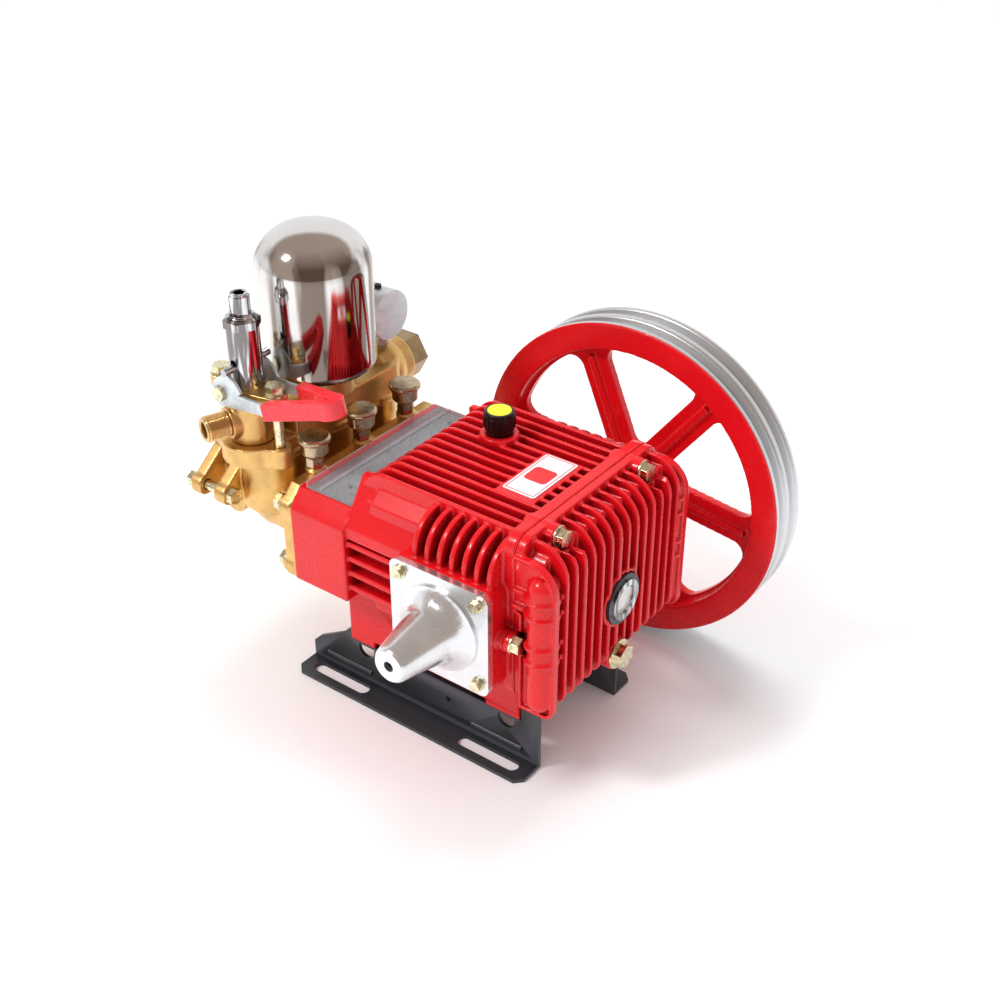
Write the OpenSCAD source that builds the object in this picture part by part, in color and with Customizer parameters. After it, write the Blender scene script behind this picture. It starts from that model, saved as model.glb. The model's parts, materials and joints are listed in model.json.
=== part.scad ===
/* [Crank drive] */
// Height of the crank axis above the ground
crank_z = 143; // [142:0.5:145]
// Distance of the crank axis from the middle of the base, towards the rear cover
crank_x = 63; // [62:0.5:64]
// Crank throw, half of the plunger stroke
throw = 8; // [7:0.5:8]
// Distance between neighbouring plungers
pitch = 53.3; // [53:0.1:54]
// Connecting rod length between its two centres
rod_len = 52; // [52:0.5:53]
// Radius of the main journals and of the flywheel seat
shaft_r = 12.5; // [12:0.5:12.5]
// Radius of the plungers
plunger_r = 9; // [8:0.5:9]

/* [Crankcase] */
// Rear joint face, where the rear cover sits
rear_x = 112; // [111:0.5:113]
// Front joint face, where the cylinder block sits
front_x = -90; // [-91:0.5:-90]
// Half width of the crank chamber
case_y = 80; // [79:0.5:82]
// Height of the tops of the cooling fins
fin_top = 221; // [219:0.5:222]
// Number of fins along the top
fins = 14; // [12:2:14]
// Distance between neighbouring fins
fin_pitch = 10.5; // [10:0.1:10.6]

/* [Flywheel] */
// Outer radius of the flywheel
wheel_r = 137.4; // [130:0.1:138]
// Front face of the rim, on the side of the crankcase
wheel_y = 134.5; // [134:0.5:136]
// Width of the rim
rim_w = 38; // [36:1:40]
// Number of spokes
spokes = 6; // [5:1:6]

/* [Base] */
// Length of each base rail
rail_len = 229; // [225:1:232]
// Outer face of each rail's upright wall
rail_y = 54.7; // [54:0.1:56]
// Outer edge of each rail's foot
foot_y = 79; // [78:0.5:80]
// Thickness of the base sheet
sheet = 3; // [2.5:0.5:3]
// Distance between the slots of one rail
slot_x = 150; // [148:1:152]
// Distance between the two rows of slots
slot_y = 132; // [131:0.5:133]
// End to end length of a slot
slot_len = 57; // [54:1:58]
// Half width of a slot
slot_r = 5.5; // [5:0.5:5.5]

/* [Head] */
// Axis of the valve towers and of the discharge manifold
tower_x = -143; // [-144:0.5:-142]
// Top of the valve towers
tower_top = 196; // [195:0.5:197]
// Top of the discharge manifold
manifold_top = 224; // [223:0.5:225]
// Radius of the air chamber
dome_r = 45; // [43:0.5:45]
// Height of the air chamber's crown
dome_top = 361.5; // [358:0.5:362]
// Place of the regulator's axis, on the manifold's near end
reg_y = -72; // [-73:0.5:-71]

/* [Hidden] */
$fn = 48;
eps = 0.01;
gap = 0.05;

red = [0.78, 0.05, 0.07];
brass = [0.82, 0.62, 0.26];
steel = [0.72, 0.73, 0.75];
zinc = [0.86, 0.80, 0.55];
black = [0.09, 0.10, 0.12];

// Crank geometry: each crank pin's angle at rest, and where its rod's wrist end is
rows = [-pitch, 0, pitch];
angles = [0, 120, 240];
pin_r = 13;
web_r = 24;
function pin_x(i) = crank_x + throw * cos(angles[i]);
function pin_z(i) = crank_z + throw * sin(angles[i]);
function tilt(i) = asin(throw * sin(angles[i]) / rod_len);
function wrist_x(i) = pin_x(i) - rod_len * cos(tilt(i));

// Bearings, bosses and the two square flanges on them
boss_half = 43.2;
boss_y = 101;
screw_at = 34;
race_r = 26;
race_w = 15;
race_y = boss_y - 2 - race_w;

// Crankcase interior
seal_wall_x = -42;
seal_wall_t = 10;
guide_r = 15.05;
guide_end = 18;
box_y = 92;
box_bottom = 112;
box_top = 176;
feet_x = [[-71, 25], [65, 32]];
bolt_x = [-58, 82];
bolt_y = 40;
pad_z = 40;
cap_at = [17, 27];
plate_at = [76, -3];
plate_size = [28, 56];

// Rear cover
cover_x = rear_x + 0.5;
cover_end = 148;
cover_bolts_at = [[-53.4, 217.5], [53.4, 217.5], [-90.5, 145], [90.5, 145], [-50, 85], [50, 85]];
function ear(b) = b[1] > 200 ? 14 : 4.5;
// Bolt ear's outline in Y and Z, with a web back to the flange for the ones at the sides
module ear_outline(b, grow = 0) {
  translate(b) circle(8 + grow);
  if (abs(b[0]) > 80) scale([sign(b[0]), 1]) translate([78, b[1] - 7]) square([abs(b[0]) - 78, 14]);
}
cover_fins = 16;
cover_pitch = 11;
column_at = [135, -83];
sight_z = 143;
drain_z = 92;

// Cylinder block and its stuffing boxes
flange_t = 10;
spigot_end = -78.5;
pack_r = 13.4;
cup_x = -98;
cup_base = 192.5;
lug_tip = [-90, 162];
gallery = [-184, 134];
port_z = 137;
port_r = 5.5;
inlet_r = 13.22;
block_bolts_at = [[-84, 120], [84, 120], [-84, 172], [84, 172], [-26.65, 118], [26.65, 118]];

// Regulator, with its lever's pivot and lift pin
reg_bolt = 28;
reg_seat = 212;
reg_top = 256;
tube_r = 12.5;
tube_top = 304;
pivot = [-152, 254];
lift_pin_z = 274;
lift_pin_r = 3;
fork_in = 17.6;
fork_t = 2.5;
lever_lift = 3;
lever_swing = 50;
grip_start = 45;
grip_len = 61;
grip_slope = 12.5;
outlet_turn = 20;
outlet_z = 228;
outlet_r = 10.48;

// Gauge, on the manifold's far end
gauge_at = [-142, 76, 260.5];
gauge_r = 20.8;

// Flywheel
spoke_w = 25;
spoke_turn = 53;

// ---- helpers: shapes drawn in a plane and run along one axis ----
module run_x(x0, len) { translate([x0, 0, 0]) rotate([90, 0, 90]) linear_extrude(len) children(); }
module run_y(y0, len) { translate([0, y0 + len, 0]) rotate([90, 0, 0]) linear_extrude(len) children(); }
module run_z(z0, len) { translate([0, 0, z0]) linear_extrude(len) children(); }
module rod_x(x0, len, r, y = 0, z = 0) { translate([x0, y, z]) rotate([0, 90, 0]) cylinder(h = len, r = r); }
module rod_y(y0, len, r, x = 0, z = 0) { translate([x, y0 + len, z]) rotate([90, 0, 0]) cylinder(h = len, r = r); }
module rod_z(z0, len, r, x = 0, y = 0) { translate([x, y, z0]) cylinder(h = len, r = r); }
module block(x0, x1, y0, y1, z0, z1) { translate([x0, y0, z0]) cube([x1 - x0, y1 - y0, z1 - z0]); }

// Rectangle with round corners, about its centre
module round_rect(w, h, r) {
  square([w - 2 * r, h], center = true);
  square([w, h - 2 * r], center = true);
  for (sx = [-1, 1], sy = [-1, 1]) translate([sx * (w / 2 - r), sy * (h / 2 - r)]) circle(r);
}

// Lozenge: a round middle with two round ears along X
module lozenge(r_mid, ear_at, r_ear) {
  circle(r_mid);
  for (s = [-1, 1]) translate([s * ear_at, 0]) circle(r_ear);
  polygon([[-ear_at, r_ear], [0, r_mid], [ear_at, r_ear],
    [ear_at, -r_ear], [0, -r_mid], [-ear_at, -r_ear]]);
}

// Hexagon head with a washer face, along +Z, with the shank below it
module hex_bolt(d, len, flats, head_h, washer_r) {
  translate([0, 0, 1.5]) cylinder(h = head_h - 1.5, r = flats / 2 / cos(30), $fn = 6);
  cylinder(h = 1.5, r = washer_r);
  translate([0, 0, -len]) cylinder(h = len + eps, r = d / 2);
}
module hex_nut(d, flats, h) {
  difference() {
    cylinder(h = h, r = flats / 2 / cos(30), $fn = 6);
    translate([0, 0, -1]) cylinder(h = h + 2, r = d / 2 + gap);
  }
}
module facing_x(x, y, z) { translate([x, y, z]) rotate([0, 90, 0]) children(); }
module facing_back(x, y, z) { translate([x, y, z]) rotate([0, -90, 0]) children(); }
module both_sides() { children(); mirror([0, 1, 0]) children(); }

// ---- base ----
// Upright wall's outline in X and Z: a low lug in front, the flange, a tall upstand behind
module rail_wall() {
  half = rail_len / 2;
  difference() {
    polygon([[-half, 0], [half, 0], [half, 50], [half - 8, 62], [half - 15, 62], [98, 52], [98, pad_z],
      [-81, pad_z], [-107, 25], [-half, 17]]);
    for (x = bolt_x) translate([x + 2, pad_z - 6]) {
      circle(8);
      translate([-8, 0]) square([16, 3]);
    }
    translate([28, 25]) circle(2.5);
  }
}
module base_rail() {
  difference() {
    union() {
      run_y(-rail_y, sheet) rail_wall();
      block(-81, 98, -rail_y, -26, pad_z - sheet, pad_z);
      run_z(0, sheet) difference() {
        translate([-rail_len / 2, -foot_y]) square([rail_len, foot_y - rail_y + sheet]);
        for (s = [-1, 1]) translate([s * rail_len / 2, -foot_y])
          rotate([0, 0, s * 45]) square([9, 9], center = true);
      }
      for (x = [-75, 75]) translate([x - 24, 0, 0]) rod_x(0, 48, 2.4, -rail_y + 0.6, 12);
    }
    for (x = [-slot_x / 2, slot_x / 2]) run_z(-1, sheet + 2) translate([x, -slot_y / 2]) {
      square([slot_len - 2 * slot_r, 2 * slot_r], center = true);
      for (s = [-1, 1]) translate([s * (slot_len / 2 - slot_r), 0]) circle(slot_r);
    }
    for (x = bolt_x) rod_z(pad_z - sheet - 1, sheet + 2, 5.25, x, -bolt_y);
  }
}
module base_rail_left() { color(black) base_rail(); }
module base_rail_right() { color(black) mirror([0, 1, 0]) base_rail(); }

module rail_bolts() {
  color(zinc) for (x = bolt_x) both_sides() translate([x, -bolt_y, pad_z - sheet]) {
    mirror([0, 0, 1]) hex_bolt(10, 0, 16, 6, 9);
    translate([0, 0, -eps]) cylinder(h = 14, r = 5.0);
  }
}

// ---- crankcase ----
// Cross section of the crank chamber, in Y and Z
module chamber_outline() {
  polygon([[-57, 46], [57, 46], [60, 72], [case_y, 108], [case_y, 200], [case_y - 14, 213],
    [-case_y + 14, 213], [-case_y, 200], [-case_y, 108], [-60, 72]]);
}
// Cross section of the plunger box, in Y and Z
module box_outline(shrink = 0) {
  y = box_y - shrink;
  polygon([[-y, box_bottom], [y, box_bottom], [y, box_top], [y - 4, box_top + 5],
    [y - 12, 190], [-y + 12, 190], [-y + 4, box_top + 5], [-y, box_top]]);
}
module top_fin(y) {
  run_y(y - 1.7, 3.4) {
    translate([-14, 199]) square([rear_x - 8 + 14, fin_top - 199]);
    translate([-14, 199]) circle(fin_top - 199);
  }
}
// Sloped deck under the fins' front ends, and the case's shoulder beside them
module front_deck() {
  run_y(-76, 152) polygon([[-38, 184], [-38, 190], [-19, 204], [-19, 184]]);
  both_sides() run_x(-38, 66) polygon([[-60, 168], [-89, 168], [-89, 178], [-66, 213], [-60, 213]]);
}
module side_ribs() {
  for (z = [122 : 13 : 174]) block(-40, 22, -89, -case_y + 1, z, z + 4.5);
}
module louvres() {
  for (i = [0 : 6]) run_x(33 + 10.8 * i, 4.2) intersection() {
    translate([-70, 190]) circle(27);
    translate([-98, 184]) square([30, 34]);
  }
}
module cavity() {
  // trough between the plunger box's two walls, open at the top
  block(-78, seal_wall_x, -76, 76, 122, 230);
  // crank chamber, its opening behind, and the hollow under the plunger box
  run_x(-15, 105) polygon([[-50, 54], [50, 54], [54, 76], [74, 112], [74, 196],
    [64, 205], [-64, 205], [-74, 196], [-74, 112], [-54, 76]]);
  block(seal_wall_x + seal_wall_t, -14, -78, 78, 118, 184);
  run_x(89, rear_x - 88) rear_opening();
  block(-64, -14, -49, 49, 54, 108);
}
module rear_opening() { translate([0, 153]) round_rect(2 * 70, 108, 12); }
module guides() {
  for (y = rows) difference() {
    rod_x(seal_wall_x + 1, guide_end - seal_wall_x - 1, 20, y, crank_z);
    block(-8, guide_end + 1, y - 9, y + 9, crank_z - 25, crank_z + 25);
  }
}
module crankcase() {
  color(red) difference() {
    union() {
      difference() {
        union() {
          run_x(-20, rear_x + 20) chamber_outline();
          run_x(front_x, -37 - front_x) box_outline();
          run_x(-38, 19) box_outline(12);
          block(-71, 97, -56, 56, 46, 120);
          for (f = feet_x) both_sides() block(f[0], f[0] + f[1], -56, -22, pad_z, 47);
          both_sides() {
            run_y(-boss_y, boss_y - 60) translate([crank_x, crank_z])
              round_rect(2 * boss_half, 2 * boss_half, 7);
            side_ribs();
            louvres();
          }
          front_deck();
          for (i = [0 : fins - 1]) top_fin((i - (fins - 1) / 2) * fin_pitch);
          // joint flange for the rear cover, with its bolt ears
          run_x(rear_x - 9, 9) translate([0, 156]) round_rect(2 * 84, 138, 12);
          for (b = cover_bolts_at) run_x(rear_x - 12, 12) ear_outline(b);
          // pads for the oil cap and the nameplate
          rod_z(205, 19, 15, cap_at[0], cap_at[1]);
          block(plate_at[0] - 17, plate_at[0] + 17, plate_at[1] - 31, plate_at[1] + 31, 205, fin_top);
        }
        cavity();
        // the case is higher behind the feet, where the rails' upstands are
        block(97, rear_x + 1, -100, 100, 0, 76);
      }
      guides();
      run_x(-15, 8) difference() {
        translate([0, crank_z]) square([2 * 75, 42], center = true);
        for (y = rows) translate([y, crank_z]) circle(20);
      }
    }
    // stuffing boxes' spigots, oil seals, plunger rods and crosshead guides
    for (y = rows) {
      rod_x(front_x - 1, 14, 18, y, crank_z);
      rod_x(seal_wall_x - 1, 9.5, 14, y, crank_z);
      rod_x(seal_wall_x + 5, 8, 11, y, crank_z);
      rod_x(seal_wall_x + seal_wall_t, guide_end - seal_wall_x, guide_r, y, crank_z);
    }
    // bearing seats
    both_sides() {
      rod_y(-boss_y - 1, 1 + boss_y - race_y, race_r + 0.02, crank_x, crank_z);
      rod_y(-race_y - 1, 30, 23, crank_x, crank_z);
      for (sx = [-1, 1], sz = [-1, 1])
        rod_y(-boss_y - 1, 17, 3.05, crank_x + sx * screw_at, crank_z + sz * screw_at);
    }
    for (b = cover_bolts_at) rod_x(rear_x - 13, 14, 4.05, b[0], b[1]);
    for (b = block_bolts_at) rod_x(front_x - 1, 13, 4.05, b[0], b[1]);
    for (x = bolt_x) both_sides() rod_z(pad_z - 1, 13.5, 5.05, x, -bolt_y);
    rod_z(195, 40, 9.1, cap_at[0], cap_at[1]);
  }
}

// ---- rear cover ----
// Fin outline in X and Z: round at the top and bottom of its rear edge
module fin_outline(top, bottom) {
  translate([118, bottom + 9]) square([cover_end - 118, top - bottom - 33]);
  translate([118, bottom]) square([cover_end - 9 - 118, 18]);
  translate([cover_end - 9, bottom + 9]) circle(9);
  translate([cover_x - 4, 196]) square([cover_end - 24 - cover_x + 4, top - 196]);
  translate([cover_end - 24, top - 24]) circle(24);
}
module cover_fin(y, top, bottom) { run_y(y - 1.6, 3.2) fin_outline(top, bottom); }
outer_fin = [214, 86];
// Round column on the outermost fin, with two double bands, inside the fin's raised rim
module cover_column() {
  x = column_at[0];
  y = column_at[1];
  rod_z(100, 94, 10.4, x, y);
  for (z = [100, 194]) translate([x, y, z]) sphere(10.4);
  for (z = [134, 147, 172, 185]) run_z(z, 3.2) {
    translate([x, y]) circle(12.9);
    translate([cover_x, y - 5]) square([cover_end - 1 - cover_x, 5]);
  }
  run_y(y - 4.5, 4.5) difference() {
    fin_outline(outer_fin[0], outer_fin[1]);
    offset(delta = -2.6) fin_outline(outer_fin[0], outer_fin[1]);
  }
}
module rear_cover() {
  color(red) difference() {
    union() {
      run_x(cover_x, 7) translate([0, 156]) round_rect(2 * 84, 138, 12);
      run_x(cover_x, 21) translate([0, 155]) round_rect(2 * 81, 120, 14);
      for (i = [0 : cover_fins - 1]) {
        outer = i < 1 || i > cover_fins - 2;
        cover_fin((i - (cover_fins - 1) / 2) * cover_pitch, outer ? outer_fin[0] : 222, outer ? outer_fin[1] : 92);
      }
      both_sides() cover_column();
      for (b = cover_bolts_at) run_x(cover_x, ear(b)) ear_outline(b);
      rod_x(120, cover_end - 121, 23, 0, sight_z);
      rod_x(120, cover_end - 122, 13, 0, drain_z);
    }
    run_x(cover_x - 1, 17) rear_opening();
    // nothing stands in front of the joint face
    block(80, cover_x, -110, 110, 60, 240);
    rod_x(120, 40, 11, 0, sight_z);
    rod_x(cover_end - 8, 20, 20.1, 0, sight_z);
    rod_x(127, 30, 7.05, 0, drain_z);
    rod_x(cover_end - 2, 10, 13.2, 0, drain_z);
    rod_x(124, 8, 5, 0, drain_z + 8);
    for (b = cover_bolts_at) {
      rod_x(cover_x - 1, ear(b) + 3, 4.05, b[0], b[1]);
      rod_x(cover_x + ear(b), b[1] > 200 ? 24 : 7.6, 9.2, b[0], b[1]);
    }
  }
}
module cover_gasket() {
  color("dimgray") difference() {
    run_x(rear_x, 0.5) {
      translate([0, 156]) round_rect(2 * 84.4, 138.8, 12.4);
      for (b = cover_bolts_at) ear_outline(b, 0.4);
    }
    run_x(rear_x - 1, 3) rear_opening();
    for (b = cover_bolts_at) rod_x(rear_x - 1, 3, 4.05, b[0], b[1]);
  }
}
module cover_bolts() {
  color(zinc) for (b = cover_bolts_at) facing_x(cover_x + ear(b), b[0], b[1])
    hex_bolt(8, ear(b) + 10.5, 12, 7.5, 8);
}
module sight_glass() {
  color(steel) difference() {
    union() {
      rod_x(cover_end - 8, 9, 20, 0, sight_z);
      rod_x(cover_end, 3, 16, 0, sight_z);
    }
    rod_x(cover_end - 2, 9, 11.5, 0, sight_z);
    rod_x(cover_end - 9, 20, 9, 0, sight_z);
  }
  color("lightyellow", 0.5) rod_x(cover_end - 2, 2.5, 11.4, 0, sight_z);
}
module drain_plug() {
  color(zinc) facing_x(cover_end - 2, 0, drain_z) hex_bolt(14, 11, 17, 8, 12);
}

// ---- bearings and their covers ----
module square_flange(y, t) {
  difference() {
    run_y(y, t) translate([crank_x, crank_z]) round_rect(2 * boss_half, 2 * boss_half, 7);
    for (sx = [-1, 1], sz = [-1, 1])
      rod_y(y - 1, t + 2, 3.1, crank_x + sx * screw_at, crank_z + sz * screw_at);
  }
}
// Hollow cone that covers the free end of the crankshaft: radius over length, tip first
cone_outer = [[12, 0], [13.6, 2], [14.6, 6], [20, 34], [21.5, 41], [25, 47], [31, 51], [34, 52]];
module shaft_cover() {
  color("silver") difference() {
    union() {
      square_flange(-boss_y - 5, 5);
      translate([crank_x, -160, crank_z]) rotate([-90, 0, 0])
        rotate_extrude() polygon(concat([[0, 0]], cone_outer, [[34, 54.5], [0, 54.5]]));
    }
    translate([crank_x, -157, crank_z]) rotate([-90, 0, 0]) rotate_extrude()
      polygon([[0, 0], [9.5, 0], [11.4, 4], [17, 32], [18, 57], [0, 57]]);
    rod_y(-161, 10, 4, crank_x, crank_z);
  }
}
module bearing_cap() {
  color(red) difference() {
    union() {
      square_flange(boss_y, 6);
      rod_y(boss_y, 11, 25, crank_x, crank_z);
    }
    rod_y(boss_y - 1, 20, 15, crank_x, crank_z);
    rod_y(boss_y + 3, 20, 19.02, crank_x, crank_z);
  }
}
module bearing_screws() {
  color(zinc) for (sx = [-1, 1], sz = [-1, 1]) translate([crank_x + sx * screw_at, 0, crank_z + sz * screw_at]) {
    translate([0, -boss_y - 5, 0]) rotate([90, 0, 0]) hex_bolt(6, 17, 8, 4.5, 5.4);
    translate([0, boss_y + 6, 0]) rotate([-90, 0, 0]) hex_bolt(6, 17, 8, 4.5, 5.4);
  }
}
module shaft_seal() {
  color(black) difference() {
    rod_y(boss_y + 3, 8, 19, crank_x, crank_z);
    rod_y(boss_y + 2, 10, shaft_r + gap, crank_x, crank_z);
  }
}
module bearing_ring(r_out, r_in) {
  both_sides() difference() {
    rod_y(-race_y - race_w, race_w, r_out, crank_x, crank_z);
    rod_y(-race_y - race_w - 1, race_w + 2, r_in, crank_x, crank_z);
  }
}
module bearing_outer_races() {
  color(steel) {
    bearing_ring(race_r, 22.4);
    both_sides() for (i = [0 : 8]) translate([crank_x + 19 * cos(40 * i), -race_y - race_w / 2,
      crank_z + 19 * sin(40 * i)]) sphere(3.25);
  }
}
module bearing_inner_races() { color(steel) bearing_ring(15.6, shaft_r + 0.02); }

// ---- crankshaft and flywheel ----
module crankshaft() {
  color(steel) difference() {
    union() {
      rod_y(-114, 114 - 71, shaft_r, crank_x, crank_z);
      rod_y(71, 157 - 71, shaft_r, crank_x, crank_z);
      rod_y(156, 16, 9, crank_x, crank_z);
      for (i = [0 : 2]) rod_y(rows[i] - 10.6, 21.2, pin_r, pin_x(i), pin_z(i));
      both_sides() rod_y(-72, 8.4, web_r, crank_x, crank_z);
      both_sides() {
        rod_y(-43, 7, web_r, crank_x, crank_z);
        rod_y(-17.5, 7, web_r, crank_x, crank_z);
        rod_y(-37, 20, 16, crank_x, crank_z);
      }
    }
    block(crank_x - 4.02, crank_x + 4.02, 118, 158, crank_z + 8.5, crank_z + 20);
    rod_y(-115, 6, 3, crank_x, crank_z);
  }
}
module flywheel_key() {
  color(steel) block(crank_x - 4, crank_x + 4, 120, 157, crank_z + 8.5, crank_z + 15);
}
// Rim section, radius against width, with two V-belt grooves
module rim_section() {
  w = rim_w;
  r = wheel_r;
  polygon([[r - 22, 0], [r, 0], [r, 5], [r - 9, 8.5], [r - 9, 12.5], [r, 16], [r, 22],
    [r - 9, 25.5], [r - 9, 29.5], [r, 33], [r, w], [r - 12, w], [r - 14, 22], [r - 22, 19]]);
}
// Web between hub and rim, with a round-cornered window between each two spokes
module wheel_web() {
  window_r = wheel_r - 25;
  corner = 11;
  half_turn = 180 / spokes - asin((spoke_w / 2 + corner) / (window_r - corner));
  difference() {
    circle(window_r + 6);
    for (i = [0 : spokes - 1]) rotate(spoke_turn + (i + 0.5) * 360 / spokes) hull() {
      for (a = [-1 : 0.25 : 1]) rotate(a * half_turn) translate([window_r - corner, 0]) circle(corner, $fn = 32);
      translate([(spoke_w / 2 + 7) / sin(180 / spokes), 0]) circle(7, $fn = 32);
    }
  }
}
module flywheel() {
  color(red) translate([crank_x, wheel_y, crank_z]) difference() {
    union() {
      rotate([-90, 0, 0]) rotate_extrude($fn = 120) rim_section();
      run_y(11, 7.5) wheel_web();
      for (i = [0 : spokes - 1]) rotate([0, -spoke_turn - i * 360 / spokes, 0])
        block(20, wheel_r - 30, 6.5, 12, -2.6, 2.6);
      translate([0, -16, 0]) rotate([-90, 0, 0]) cylinder(h = 39, r = 27);
    }
    translate([0, -20, 0]) rotate([-90, 0, 0]) cylinder(h = 60, r = shaft_r + 0.02);
    translate([-4.02, -20, 0]) cube([8.04, 60, 15.1]);
  }
}
module flywheel_nut() {
  color(zinc) translate([crank_x, wheel_y + 23 + 2.6, crank_z]) rotate([-90, 0, 0]) {
    hex_nut(18, 27, 11);
    translate([0, 0, -2.5]) difference() {
      cylinder(h = 2.5 + eps, r = 17);
      translate([0, 0, -1]) cylinder(h = 5, r = 9 + gap);
    }
  }
}

// ---- connecting rods, crossheads and plungers ----
module conrod(i) {
  color("slategray") translate([wrist_x(i), rows[i], crank_z]) rotate([0, -tilt(i), 0]) difference() {
    union() {
      rod_y(-10, 20, 19, rod_len, 0);
      block(4, rod_len - 15, -4, 4, -6, 6);
      rod_y(-6, 12, 8);
      for (s = [-1, 1]) rod_x(rod_len - 9, 18, 4.4, 0, s * 16.5);
    }
    rod_y(-11, 22, pin_r + gap, rod_len, 0);
    rod_y(-7, 14, 4.52);
    block(rod_len - 0.05, rod_len + 0.05, -12, 12, -30, 30);
  }
}
module wrist_pin(i) { color(steel) rod_y(rows[i] - 6, 12, 4.5, wrist_x(i), crank_z); }
module crosshead(i) {
  x = wrist_x(i);
  color("darkgray") difference() {
    rod_x(x - 33, 45, guide_r - gap, rows[i], crank_z);
    block(x - 25, x + 13, rows[i] - 7, rows[i] + 7, crank_z - 20, crank_z + 20);
    rod_y(rows[i] - 16, 32, 4.55, x, crank_z);
    rod_x(x - 34, 8, 6.02, rows[i], crank_z);
  }
}
module plunger(i) {
  x = wrist_x(i) - 33;
  color("whitesmoke") {
    rod_x(x - 96, 95.98, plunger_r, rows[i], crank_z);
    rod_x(x - 1, 7, 6, rows[i], crank_z);
  }
}
module seal_ring(x0, len, r_out) {
  for (y = rows) difference() {
    rod_x(x0, len, r_out, y, crank_z);
    rod_x(x0 - 1, len + 2, plunger_r + gap, y, crank_z);
  }
}
module oil_seals() { color(black) seal_ring(seal_wall_x, 8, 13.98); }
module packings() { color("tan") seal_ring(-124, 39, pack_r - 0.02); }
module gland_nuts() {
  color(brass) for (y = rows) difference() {
    union() {
      rod_x(-84.9, 7, pack_r - 0.02, y, crank_z);
      rod_x(spigot_end + eps, 10, 17.5, y, crank_z);
    }
    rod_x(-86, 30, plunger_r + gap, y, crank_z);
    for (a = [45 : 90 : 315]) rod_x(-72, 10, 2.6, y + 13.2 * cos(a), crank_z + 13.2 * sin(a));
  }
}
module drip_cover() {
  color("white", 0.35) difference() {
    union() {
      block(-84, -38.5, -79, 79, 190.02, 192);
      block(-84, -81.5, -79, 79, 190.02, 196);
      block(-70, -68.5, -79, 79, 191.9, 194.5);
    }
    run_z(189, 4) translate([-57, 0]) for (s = [-1, 1]) translate([0, s * 60]) circle(2);
  }
}

// ---- cylinder block ----
module lug(x, len) {
  run_x(x, len) both_lugs();
}
module both_lugs() {
  for (s = [-1, 1]) scale([s, 1]) {
    translate(lug_tip) circle(9);
    polygon([[lug_tip[0] - 8, lug_tip[1] + 4], [-70, 188], [-56, 190], [-56, 150], [-70, 150],
      [lug_tip[0] + 2, lug_tip[1] - 9]]);
  }
}
module grease_boss(y) { rod_z(150, cup_base - 150, 7.9, cup_x, y); }
module cylinder_block() {
  color(brass) difference() {
    union() {
      run_x(front_x - flange_t, flange_t) box_outline(1);
      for (y = rows) {
        rod_z(147, tower_top - 147, 27, tower_x, y);
        translate([tower_x, y, 128]) cylinder(h = 20, r1 = 12, r2 = 26);
        rod_x(tower_x, front_x - tower_x, 18.5, y, crank_z);
        rod_x(-169.5, 20, 9.5, y, port_z);
        rod_x(front_x - 1, 1 + spigot_end - front_x, 17.9, y, crank_z);
        grease_boss(y);
      }
      block(tower_x - 10, front_x - 4, -68, 68, 139, 168);
      for (s = [-1, 1]) rod_z(170, tower_top - 170, 9, tower_x - 21, s * pitch / 2);
      lug(-167, 11);
      run_x(-169.5, 30) translate([0, 161]) round_rect(2 * 70, 42, 10);
      for (b = block_bolts_at) rod_x(front_x - flange_t - 2, flange_t, 9, b[0], b[1]);
    }
    // the suction head's joint face
    block(-190, -169.5, -110, 110, 100, 200);
    for (y = rows) {
      rod_x(-127, 4, 11, y, crank_z);
      rod_x(-140, 14, 3.2, y, crank_z + 7.6);
      rod_x(-124, 50, pack_r, y, crank_z);
      rod_z(143, tower_top - 142, 15, tower_x, y);
      rod_z(131, 14, 7.5, tower_x, y);
      rod_z(crank_z + 10, 60, 1.5, cup_x, y);
      rod_z(cup_base - 6, 8, 3.05, cup_x, y);
      rod_x(-171, 24, port_r, y, port_z);
    }
    for (b = block_bolts_at) rod_x(front_x - flange_t - 4, flange_t + 6, 4.05, b[0], b[1]);
    for (s = [-1, 1]) rod_x(-170, 30, 4.05, s * lug_tip[0], lug_tip[1]);
    for (s = [-1, 1]) rod_z(tower_top - 14, 20, 4.05, tower_x - 21, s * pitch / 2);
  }
}
module suction_head() {
  color(brass) difference() {
    union() {
      run_x(-186, 16.5) translate([0, 158]) round_rect(2 * 70, 44, 12);
      lug(-192, 10);
      rod_y(72, 40, inlet_r, gallery[0], gallery[1]);
      rod_y(-63, 141, 12, gallery[0], gallery[1]);
      for (y = rows) rod_x(gallery[0], -169.5 - gallery[0], 9.5, y, port_z);
    }
    rod_y(-59, 190, 8, gallery[0], gallery[1]);
    for (y = rows) rod_x(gallery[0], 16, port_r, y, port_z);
    for (s = [-1, 1]) rod_x(-193, 30, 4.05, s * lug_tip[0], lug_tip[1]);
  }
}
module check_valves() {
  color(steel) for (y = rows) {
    rod_z(143.02, 4, 14.9, tower_x, y);
    rod_z(tower_top - 38, 5, 14.9, tower_x, y);
    rod_z(tower_top - 34, 34, 8, tower_x, y);
  }
}
module head_bolts() {
  color(zinc) {
    for (b = block_bolts_at) facing_back(front_x - flange_t - 2, b[0], b[1]) hex_bolt(8, 21, 12, 7.5, 8);
    for (s = [-1, 1]) {
      facing_back(-192, s * lug_tip[0], lug_tip[1]) hex_bolt(8, 42, 12, 7.5, 8);
      facing_x(-156, s * lug_tip[0], lug_tip[1]) hex_nut(8, 12, 6);
      translate([tower_x - 21, s * pitch / 2, manifold_top]) hex_bolt(8, 38, 12, 7.5, 8);
    }
  }
}
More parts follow.
